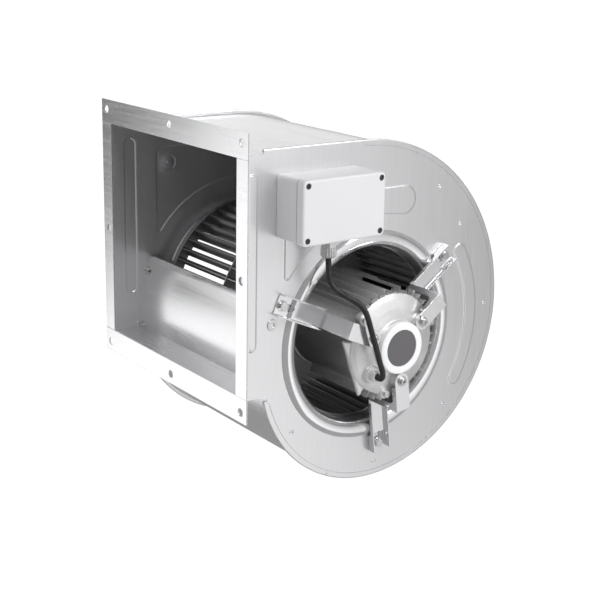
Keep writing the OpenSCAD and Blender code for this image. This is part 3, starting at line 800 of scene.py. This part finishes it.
def sheet_sweep(bm, points, normals, thickness, y0, y1):
    """A bent sheet: an outline of outer points, made thick against the normals, along Y"""
    rings = []
    for p, n in zip(points, normals):
        q = p - n * thickness
        rings.append([(p.x, y0, p.y), (p.x, y1, p.y), (q.x, y1, q.y), (q.x, y0, q.y)])
    loft(bm, rings, cap=(True, True))


def arc_with_normals(centre, r, start, end, step):
    """Points on an arc, and the outward direction at each"""
    points = arc(centre, r, start, end, step)
    return points, [(p - Vector(centre)).normalized() for p in points]


def scroll_wrap():
    """The bent sheet that runs round the scroll from the outlet to the cut-off"""
    points = [Vector((RAIL_T, WRAP_TOP))]
    normals = [Vector((0, 1))]
    for c, r, a0, a1 in (
        (CENTRES[3], RADII[3], 90, 0), (CENTRES[2], RADII[2], 0, -90),
        (CENTRES[1], RADII[1], -90, -180), (CENTRES[0], RADII[0], -180, -180 - LIP_ANGLE),
    ):
        more, out = arc_with_normals(c, r, a0, a1, 2)
        points += more
        normals += out
    bm = bmesh.new()
    sheet_sweep(bm, points, normals, SHEET, -HALF_W, HALF_W)
    return place(finish_mesh(bm, "scroll_wrap_sheet", SHEET_WRAP), "scroll_wrap")


def cutoff_lip():
    """A hem rolled over the end of the wrap"""
    a = math.radians(180 - LIP_ANGLE)
    end = Vector((CENTRES[0][0] + (RADII[0] - SHEET / 2) * math.cos(a),
                  CENTRES[0][1] + (RADII[0] - SHEET / 2) * math.sin(a)))
    out = Vector((math.cos(a), math.sin(a)))
    along = Vector((out.y, -out.x))
    outline = [
        end + out * u + along * v
        for u, v in ((1.8, -6), (1.9, -1), (1.5, 0.6), (0.8, 1.5), (0, 1.8), (-0.8, 1.5),
                     (-1.5, 0.6), (-1.9, -1), (-1.8, -6), (-0.7, -6), (-0.7, -0.4), (0.7, -0.4), (0.7, -6))
    ]
    bm = bmesh.new()
    y0, y1 = lo("cutoff_lip").y, hi("cutoff_lip").y
    loft(bm, [[(p.x, y, p.y) for p in outline] for y in (y0, y1)], cap=(True, True))
    return place(finish_mesh(bm, "cutoff_lip_hem", SHEET_BRIGHT), "cutoff_lip")


scroll_wrap()
cutoff_lip()
refined("outlet_floor", SHEET_WRAP, 0.15)
refined("tongue_rivets", ZINC, 0.3)
refined("plate_rivnuts", ZINC, 0.3)

for rail in ("top", "bottom", "left", "right"):
    refined("flange_rail_" + rail, SHEET_FLANGE, 0.45)


# ---- Inlet rings ----

def inlet_ring(node, side):
    """A spun bell mouth with a short straight throat"""
    centre_r = THROAT_R + BELL_R
    low = -BELL_Y
    end = 360 - math.degrees(math.asin((PLATE - BELL_Y) / BELL_R))
    outer = [(p.x, p.y) for p in arc((centre_r, low), BELL_R, 180, end, 6)]
    inner = [(p.x, p.y) for p in arc((centre_r, low), BELL_R - SHEET, end, 180, 6)]
    throat = HALF_W - 14
    profile = [(THROAT_R, -throat)] + outer + inner + [(THROAT_R + SHEET, -throat), (THROAT_R, -throat)]
    bm = bmesh.new()
    revolve(bm, [(r, -side * y) for r, y in profile], 180)
    return place(finish_mesh(bm, node + "_spun", SHEET_BRIGHT), node)


inlet_ring("inlet_ring_motor", -1)
inlet_ring("inlet_ring_rear", 1)


# ---- Motor supports ----

ARM_ANGLES = {"left": 156, "right": 36, "bottom": -83}
ARM_W, ARM_T = 25.0, 1.5
ARM_IN, ARM_OUT = 82.0, 147.0
ARM_EDGE = PLATE + 10.8
ARM_LIFT = 4.4
ARM_STEP = (THROAT_R + BELL_R + 7.5, THROAT_R + BELL_R + 12)
SLOT_R, SLOT_HALF, SLOT_W = 133.0, 5.0, 4.2


def at_angle(angle):
    """Places local X radially, local Y along the fan axis and local Z tangentially"""
    return Matrix.Translation((AXIS.x, 0, AXIS.z)) @ Matrix.Rotation(-math.radians(angle), 4, "Y")


def smooth_step(t):
    """Rises from 0 to 1 with level ends"""
    t = max(0, min(1, t))
    return t * t * (3 - 2 * t)


def channel_section(web, edge):
    """Section of an arm as (z, y), open to the front, with bent corners"""
    bend = 2.2
    half = ARM_W / 2
    outer, inner = [], []
    for s in (-1, 1):
        turns = range(0, 91, 15) if s < 0 else range(90, -1, -15)
        for a in (math.radians(t) for t in turns):
            outer.append((s * (half - bend + bend * math.cos(a)), -(web + bend - bend * math.sin(a))))
            small = bend - ARM_T
            inner.append((s * (half - bend + small * math.cos(a)), -(web + bend - small * math.sin(a))))
    top = [(-half, -edge)], [(half, -edge)]
    back = [(half - ARM_T, -edge)], [(-half + ARM_T, -edge)]
    return top[0] + outer + top[1] + back[0] + inner[::-1] + back[1]


def support_arm(side):
    """A channel that steps over the bell mouth, with a slot for its screw"""
    node = "support_arm_" + side
    bm = bmesh.new()
    stations = [ARM_OUT, ARM_OUT - 6, ARM_STEP[1] + 1.5]
    stations += [ARM_STEP[1] - (ARM_STEP[1] - ARM_STEP[0]) * k / 6 for k in range(7)]
    stations += [ARM_STEP[0] - 1.5, 105, ARM_IN]
    rings = []
    for r in stations:
        lift = ARM_LIFT * smooth_step((ARM_STEP[1] - r) / (ARM_STEP[1] - ARM_STEP[0]))
        rings.append([(r, y, z) for z, y in channel_section(PLATE + lift, ARM_EDGE)])
    loft(bm, rings, cap=(True, True))
    piece = finish_mesh(bm, node + "_channel", SHEET_BRIGHT)
    tool = bmesh.new()
    slot = arc((SLOT_R + SLOT_HALF, 0), SLOT_W, -90, 90, 15)
    slot += arc((SLOT_R - SLOT_HALF, 0), SLOT_W, 90, 270, 15)
    loft(tool, [[(p.x, y, p.y) for p in slot] for y in (-PLATE + 1, -ARM_EDGE + 0.5)], cap=(True, True))
    cut(piece, finish_mesh(tool, "slot_tool", SHEET_BRIGHT))
    soften(piece, 0.25)
    piece.data.transform(scaled(at_angle(ARM_ANGLES[side])))
    return place(piece, node)


def scaled(matrix):
    """The same placement for a mesh in metres"""
    moved = matrix.copy()
    moved.translation *= MM
    return moved


def soften(piece, width, segments=2, angle=38):
    """Rounds the sharp edges of a finished piece"""
    bm = bmesh.new()
    bm.from_mesh(piece.data)
    bmesh.ops.dissolve_limit(bm, angle_limit=math.radians(0.3), verts=bm.verts, edges=bm.edges)
    bm.to_mesh(piece.data)
    bm.free()
    edges = piece.modifiers.new("round", "BEVEL")
    edges.width = width * MM
    edges.segments = segments
    edges.limit_method = "ANGLE"
    edges.angle_limit = math.radians(angle)
    edges.use_clamp_overlap = False
    evaluated_copy(piece)
    weight_normals(piece)


for arm_side in ARM_ANGLES:
    support_arm(arm_side)
    refined("motor_bracket_" + arm_side, SHEET_BRIGHT, 0.45, segments=3)
refined("arm_screws", ZINC, 0.3)
refined("arm_nuts", ZINC, 0.2)
refined("bracket_bolts", ZINC, 0.35)
refined("tie_bolts", ZINC, 0.3)


# ---- Motor ----

FRAME_FRONT, FRAME_REAR = lo("motor_frame").y, hi("motor_frame").y
FRAME_R, FIN_R, FRAME_BORE = 57.5, 67.5, 53.0
FIN_ANGLES = range(-120, 131, 10)
FIN_FRONT = -179.0
FIN_START = 60.35
TIE_ANGLES = (140, 20, -100)


def motor_frame():
    """A tube with tapered, round-tipped fins"""
    bm = bmesh.new()
    revolve(bm, [
        (FRAME_BORE, FRAME_FRONT), (FRAME_R - 0.5, FRAME_FRONT), (FRAME_R, FRAME_FRONT + 0.5),
        (FRAME_R, FRAME_REAR - 0.5), (FRAME_R - 0.5, FRAME_REAR), (FRAME_BORE, FRAME_REAR),
    ], 144, closed=True)
    section = [
        (FRAME_R - 1.5, -2.4), (FRAME_R + 0.3, -1.6), (FRAME_R + 2, -1.15), (FIN_R - 1, -0.75),
        (FIN_R - 0.3, -0.55), (FIN_R, 0), (FIN_R - 0.3, 0.55), (FIN_R - 1, 0.75), (FRAME_R + 2, 1.15),
        (FRAME_R + 0.3, 1.6), (FRAME_R - 1.5, 2.4),
    ]
    whole = ((FRAME_FRONT, 0.5), (FRAME_FRONT + 0.5, 0), (FRAME_REAR - 9, 0), (FRAME_REAR - 8, 1))
    nose = ((FIN_FRONT, 0.5), (FIN_FRONT + 0.5, 0), (FRAME_FRONT + 1, 0), (FRAME_FRONT + 1.5, 0))
    for angle in FIN_ANGLES:
        parts = [(whole, FRAME_R - 1.5)]
        if min(abs(angle - tie) for tie in TIE_ANGLES) > 7:
            parts.append((nose, FIN_START))
        for levels, least in parts:
            fin = bmesh.new()
            loft(fin, [
                [(max(least, r - drop * (r - FRAME_R) / (FIN_R - FRAME_R)), y, z) for r, z in section]
                for y, drop in levels
            ], cap=(True, True))
            bmesh.ops.transform(fin, matrix=at_angle(angle), verts=fin.verts)
            mesh = bpy.data.meshes.new("fin")
            fin.to_mesh(mesh)
            fin.free()
            bm.from_mesh(mesh)
            bpy.data.meshes.remove(mesh)
    # Painted light and shade: the fins take the lighter copy of the cast metal, and the tube faces between
    # and round them take the darker copy, so the gaps read as shaded.
    piece = finish_mesh(bm, "motor_frame_cast", PAINTED_LIGHT_FIN_ALUMINIUM)
    piece.data.materials.append(PAINTED_SHADE_TUBE_ALUMINIUM)
    for face in piece.data.polygons:
        if math.hypot(face.center.x / MM - AXIS.x, face.center.z / MM - AXIS.z) < FRAME_R + 0.1:
            face.material_index = 1
    return place(piece, "motor_frame")


def cast(node, voxel, rounds, material):
    """A copy of a CAD node with the soft inner and outer corners of a casting"""
    bm = bmesh.new()
    bm.from_mesh(frame["nodes"][node].data)
    bmesh.ops.scale(bm, vec=(1 / MM,) * 3, verts=bm.verts)
    piece = finish_mesh(bm, node + "_cast", material)
    blocks = piece.modifiers.new("blocks", "REMESH")
    blocks.mode = "VOXEL"
    blocks.voxel_size = voxel * MM
    flow = piece.modifiers.new("flow", "SMOOTH")
    flow.factor = 0.5
    flow.iterations = rounds
    evaluated_copy(piece)
    for face in piece.data.polygons:
        face.use_smooth = True
    return place(piece, node)


motor_frame()
cast("motor_end_shield", 0.9, 5, ALUMINIUM)
refined("motor_rear_shield", ALUMINIUM, 0.5)


def turned(node, profile, material, body=BODY_FIXED, steps=96):
    """A piece turned about the fan axis from a closed profile"""
    bm = bmesh.new()
    revolve(bm, profile, steps, closed=True)
    return place(finish_mesh(bm, node + "_turned", material), node, body)


CAP_FRONT = lo("shield_cap_ring").y
CAP_RING_R, CAP_DISC_R = 30.4, 21.6
turned("shield_cap_ring", [
    (CAP_DISC_R, CAP_FRONT + 0.5), (CAP_DISC_R + 0.3, CAP_FRONT + 0.1), (CAP_DISC_R + 0.9, CAP_FRONT),
    (CAP_RING_R - 1.6, CAP_FRONT), (CAP_RING_R - 0.7, CAP_FRONT + 0.25), (CAP_RING_R - 0.15, CAP_FRONT + 0.8),
    (CAP_RING_R, CAP_FRONT + 1.6), (CAP_RING_R, CAP_FRONT + 5.6), (CAP_RING_R - 0.4, CAP_FRONT + 6),
    (CAP_DISC_R, CAP_FRONT + 6),
], CAP_WHITE)
turned("shield_cap", [
    (0.01, CAP_FRONT + 0.75), (CAP_DISC_R - 2, CAP_FRONT + 0.6), (CAP_DISC_R - 0.5, CAP_FRONT + 0.65),
    (CAP_DISC_R - 0.15, CAP_FRONT + 1), (CAP_DISC_R - 0.15, CAP_FRONT + 5.9),
    (CAP_DISC_R - 2, CAP_FRONT + 5.9), (CAP_DISC_R - 2, CAP_FRONT + 2.4), (0.01, CAP_FRONT + 2.4),
], CAP_GREY)


# ---- Cable and glands ----

CABLE_ROUTE = [
    (103, -165, 16), (102.8, -166, 5.7), (102.2, -168, -4.3), (103.4, -172, -14), (109.2, -178, -22.2),
    (116.6, -184, -27.4), (123.4, -189, -32), (128.9, -194, -37.3), (132.1, -198.5, -45.3),
    (133.8, -201.5, -54.7), (137.3, -203, -67.6), (141.4, -203.3, -79.5), (145.8, -203.3, -91.8),
    (149.5, -203.6, -104), (152.4, -203.9, -111.5), (154.2, -203.9, -117.5), (154.6, -203.4, -122),
    (153.4, -201.3, -124.8), (152, -198, -123.4), (152, -193, -123.4),
]
CABLE_D = 6.5
SMOOTHING_ROUNDS = 5


def smooth_route(points, parts=6):
    """A smooth line through the route's points"""
    path = []
    points = [Vector(p) for p in points]
    ends = [2 * points[0] - points[1]] + points + [2 * points[-1] - points[-2]]
    for a, b, c, d in zip(ends, ends[1:], ends[2:], ends[3:]):
        for k in range(parts):
            t = k / parts
            path.append(0.5 * (2 * b + (c - a) * t + (2 * a - 5 * b + 4 * c - d) * t * t
                               + (3 * b - a - 3 * c + d) * t ** 3))
    return path + [points[-1]]


def motor_cable():
    """The cable from the terminal box to the motor, swept along a smoothed route"""
    path = smooth_route(CABLE_ROUTE)
    for _ in range(SMOOTHING_ROUNDS):
        middle = [(a + 2 * b + c) / 4 for a, b, c in zip(path, path[1:], path[2:])]
        path = [path[0]] + middle + [path[-1]]
    data = bpy.data.curves.new("motor_cable_run", "CURVE")
    data.dimensions = "3D"
    data.bevel_depth = CABLE_D / 2 * MM
    data.bevel_resolution = 6
    data.use_fill_caps = True
    line = data.splines.new("POLY")
    line.points.add(len(path) - 1)
    for point, p in zip(line.points, path):
        point.co = (*(p * MM), 1)
    line.use_smooth = True
    piece = bpy.data.objects.new("motor_cable_run", data)
    bpy.context.scene.collection.objects.link(piece)
    data.materials.append(CABLE)
    place(piece, "motor_cable")
    return piece


motor_cable()
refined("motor_gland", ALUMINIUM, 0.3)
refined("motor_gland_nut", ALUMINIUM, 0.8)
refined("box_gland", NICKEL, 0.3)

GLAND_AT = (103.0, -165.0)
GLAND_NUT_R, GLAND_BOTTOM, GLAND_NUT_H = 8.8, 16.0, 12.0
GLAND_THREAD_R = 6.0


def box_gland_nut():
    """A domed nut with fine gripping ribs"""
    ribs, steps = 18, 8
    bm = bmesh.new()

    def ring(r, z, depth):
        out = []
        for i in range(ribs * steps):
            a = 2 * math.pi * i / (ribs * steps)
            share = 0.5 - 0.5 * math.cos(2 * math.pi * (i % steps) / steps)
            rr = r - depth * share ** 3
            out.append((GLAND_AT[0] + rr * math.cos(a), GLAND_AT[1] + rr * math.sin(a), z))
        return out

    bore = CABLE_D / 2 + 0.3
    z0, z1 = GLAND_BOTTOM, GLAND_BOTTOM + GLAND_NUT_H
    profile = [
        (bore, z1 - 4, 0), (bore, z0, 0), (bore + 1.5, z0, 0), (GLAND_NUT_R - 2.6, z0, 0),
        (GLAND_NUT_R - 1.2, z0 + 0.7, 0.1), (GLAND_NUT_R - 0.3, z0 + 1.8, 0.4), (GLAND_NUT_R, z0 + 3, 0.6),
        (GLAND_NUT_R, z1 - 1.2, 0.6), (GLAND_NUT_R - 0.5, z1 - 0.2, 0.3), (GLAND_NUT_R - 1.2, z1, 0),
        (GLAND_THREAD_R + 0.1, z1, 0), (GLAND_THREAD_R + 0.1, z1 - 4, 0),
    ]
    loft(bm, [ring(*row) for row in profile + profile[:1]])
    piece = finish_mesh(bm, "box_gland_nut_ribbed", NICKEL, math.radians(50))
    return place(piece, "box_gland_nut")


box_gland_nut()


# ---- Terminal box ----

BOX_LO, BOX_HI = lo("terminal_box"), hi("terminal_box")
LID_LO, LID_HI = lo("terminal_box_lid"), hi("terminal_box_lid")
CORNER = 6.0
SCREW_INSET = 6.5


def box_ring(shrink, y, corner=CORNER):
    """Outline of the box at a depth y, shrunk inward, with round corners"""
    r = max(corner - shrink, 0.6)
    x0, x1 = BOX_LO.x + shrink, BOX_HI.x - shrink
    z0, z1 = BOX_LO.z + shrink, BOX_HI.z - shrink
    out = []
    corners = (x1 - r, z1 - r, 0), (x0 + r, z1 - r, 90), (x0 + r, z0 + r, 180), (x1 - r, z0 + r, 270)
    for cx, cz, start in corners:
        out += [(p.x, y, p.y) for p in arc((cx, cz), r, start, start + 90, 10)]
    return out


def box_corners():
    """Centres of the four lid screws, as (x, z)"""
    for x in (BOX_LO.x + SCREW_INSET, BOX_HI.x - SCREW_INSET):
        for z in (BOX_LO.z + SCREW_INSET, BOX_HI.z - SCREW_INSET):
            yield x, z


def terminal_box_lid():
    """The lid, hollow at the back, with a recess for each screw"""
    front, back = LID_LO.y, LID_HI.y
    bm = bmesh.new()
    outside = [
        (2.5, back), (0.3, back), (0, back - 0.3), (0, front + 3.0), (0.25, front + 1.7),
        (0.9, front + 0.8), (1.8, front + 0.25), (3.0, front),
    ]
    rings = [box_ring(*level) for level in outside]
    loft(bm, rings, cap=(False, True))
    inside_rings = [box_ring(2.5, back), box_ring(2.5, front + 3.2), box_ring(4.5, front + 2.5)]
    loft(bm, inside_rings, cap=(False, True))
    piece = finish_mesh(bm, "terminal_box_lid_shell", BOX_PLASTIC)
    for x, z in box_corners():
        tool = bmesh.new()
        loft(tool, [[(p.x, y, p.y) for p in arc((x, z), 3.5, 0, 345, 15)] for y in (front - 1, front + 1.6)],
             cap=(True, True))
        cut(piece, finish_mesh(tool, "recess_tool", BOX_PLASTIC))
    weight_normals(piece)
    return place(piece, "terminal_box_lid")


def terminal_box():
    """The body of the box, open at the front under the lid"""
    front, back = BOX_LO.y, BOX_HI.y
    bm = bmesh.new()
    rings = [box_ring(*level) for level in (
        (2.5, back - 2.5), (2.5, front), (0.9, front), (0.6, front + 0.3), (0.6, back - 0.8),
        (1.0, back - 0.2), (1.6, back),
    )]
    loft(bm, rings, cap=(True, True))
    return place(finish_mesh(bm, "terminal_box_shell", BOX_PLASTIC), "terminal_box")


def lid_screws():
    """Four captive screws, each with a shallow round recess in its head"""
    front = lo("lid_screws").y
    bm = bmesh.new()
    for x, z in box_corners():
        rings = [
            (0.01, front + 18), (1.5, front + 18), (1.5, front + 2), (3.1, front + 2),
            (3.2, front + 0.5), (2.9, front + 0.15), (2.4, front), (1.7, front),
            (1.2, front + 0.8), (0.01, front + 1.1),
        ]
        loft(bm, [[(x + r * math.cos(a), y, z + r * math.sin(a)) for a in
                   (2 * math.pi * i / 32 for i in range(32))] for r, y in rings])
    return place(finish_mesh(bm, "lid_screws_turned", DARK_SCREW), "lid_screws")


terminal_box_lid()
terminal_box()
lid_screws()
refined("lid_gasket", GASKET, 0.1)
refined("box_screws", ZINC, 0.3)
refined("terminal_block", BLOCK_WHITE, 0.4)
refined("run_capacitor", CAP_GREY, 1.0)


# ---- CAD nodes that keep their shape ----

KEPT = {
    "stator_core": LAMINATION, "stator_windings": COPPER, "rotor_core": LAMINATION,
    "bearing_outer_rings": BEARING, "bearing_inner_rings": BEARING, "bearing_balls": BEARING,
    "wave_washer": BEARING, "blades_motor_side": SHEET_WHEEL, "blades_rear_side": SHEET_WHEEL,
}
for kept_node, kept_material in KEPT.items():
    mesh_data = frame["nodes"][kept_node].data
    mesh_data.materials.clear()
    mesh_data.materials.append(kept_material)

refined("wheel_centre_disc", SHEET_WHEEL, 0.2, BODY_WHEEL)
refined("wheel_hub", ZINC, 0.5, BODY_WHEEL)
refined("hub_rivets", ZINC, 0.4, BODY_WHEEL)
refined("hub_set_screw", DARK_SCREW, 0.2, BODY_WHEEL)
refined("wheel_ring_motor", SHEET_WHEEL, 0.25, BODY_WHEEL)
refined("wheel_ring_rear", SHEET_WHEEL, 0.25, BODY_WHEEL)
refined("motor_shaft", BEARING, 0.4, BODY_WHEEL)


# ---- Studio ----

WHITE = (1, 1, 1, 1)


def make_stage():
    """A plain white floor below the object, and a white surround for the camera only"""
    floor_z = CAD_BOX[0][2] - 0.001
    bpy.ops.mesh.primitive_plane_add(size=60, location=(0, 0, floor_z))
    floor = bpy.context.object
    floor.name = "floor"
    m = Nodes("floor_paper")
    m.drive(Base_Color=m.colours(m.noise(2, detail=2), (0.10, 0.10, 0.10), (0.11, 0.11, 0.11)))
    m.set(Roughness=0.9, Emission_Color=WHITE, Emission_Strength=1.0)
    floor.data.materials.append(m.material)
    floor.visible_glossy = False
    bpy.ops.mesh.primitive_ico_sphere_add(subdivisions=3, radius=29)
    surround = bpy.context.object
    surround.name = "surround"
    paper = Nodes("surround_paper")
    paper.set(Base_Color=(0, 0, 0, 1), Specular_IOR_Level=0, Emission_Color=WHITE, Emission_Strength=1.0)
    surround.data.materials.append(paper.material)
    surround.visible_glossy = False
    surround.visible_diffuse = False
    surround.visible_shadow = False


def make_world(strength):
    """Even white light from all around"""
    world = bpy.data.worlds.new("studio")
    bpy.context.scene.world = world
    world.use_nodes = True
    world.node_tree.nodes["Background"].inputs["Color"].default_value = WHITE
    world.node_tree.nodes["Background"].inputs["Strength"].default_value = strength


def graded_card(name, at, facing, size, level, slope, limits=(0.05, 1.05)):
    """A lit card outside the picture for the metal to reflect.

    Its brightness is level plus the slope times the place in metres, held within the limits.
    """
    bpy.ops.mesh.primitive_plane_add(size=1, location=at)
    card = bpy.context.object
    card.name = name
    card.scale = (*size, 1)
    card.rotation_euler = Vector(facing).to_track_quat("Z", "Y").to_euler()
    m = Nodes(name + "_paper")
    place_in_room = m.add("ShaderNodeNewGeometry").outputs["Position"]
    along = m.add("ShaderNodeVectorMath", operation="DOT_PRODUCT")
    along.inputs[1].default_value = slope
    m.link(place_in_room, along.inputs[0])
    graded = m.add("ShaderNodeMath", operation="ADD")
    graded.inputs[1].default_value = level
    m.link(along.outputs["Value"], graded.inputs[0])
    held = m.add("ShaderNodeClamp")
    held.inputs["Min"].default_value, held.inputs["Max"].default_value = limits
    m.link(graded.outputs["Value"], held.inputs["Value"])
    m.set(Base_Color=(0, 0, 0, 1), Specular_IOR_Level=0, Emission_Color=WHITE)
    m.drive(Emission_Strength=held.outputs["Result"])
    card.data.materials.append(m.material)
    card.visible_camera = False
    card.visible_shadow = False


def area_light(name, at, target, size, power):
    """A rectangular soft light aimed at a point"""
    data = bpy.data.lights.new(name, "AREA")
    data.shape = "RECTANGLE"
    data.size, data.size_y = size
    data.energy = power
    light = bpy.data.objects.new(name, data)
    bpy.context.scene.collection.objects.link(light)
    light.location = at
    light.rotation_euler = (Vector(target) - Vector(at)).to_track_quat("-Z", "Y").to_euler()


CENTRE = (0.19, 0.0, -0.07)
make_stage()
make_world(0.28)
graded_card("plate_card", (0.85, -0.9, -0.3), (0, 1, 0), (1.3, 1.6), 1.42, (-0.97, 0, -0.25), (0.05, 1.1))
graded_card("flange_card", (-0.65, 0.9, -0.35), (0, -1, 0), (0.9, 1.2), -2.78, (-5.8, 0, -4.6), (0.02, 1.5))
graded_card("tongue_card", (-0.62, 0.88, 0.37), (0, -1, 0), (0.8, 0.5), -2.6, (-6.5, 0, 0), (0.05, 1.6))
graded_card("upper_card", (-0.6, 0.95, 0.75), (0.3, -1, -0.4), (1.4, 0.8), 1.2, (0, 0, 0), (0, 1.3))
graded_card("top_card", (1.1, 1.3, 0.45), (-0.5, -1, 0), (1.6, 0.5), 1.1, (0, 0, 0), (0, 1.2))
area_light("key", (0.9, -1.5, 1.0), CENTRE, (0.9, 0.9), 17)
area_light("front", (-0.3, -1.1, 1.7), CENTRE, (0.6, 0.6), 16)

bpy.context.scene.view_settings.view_transform = "Standard"
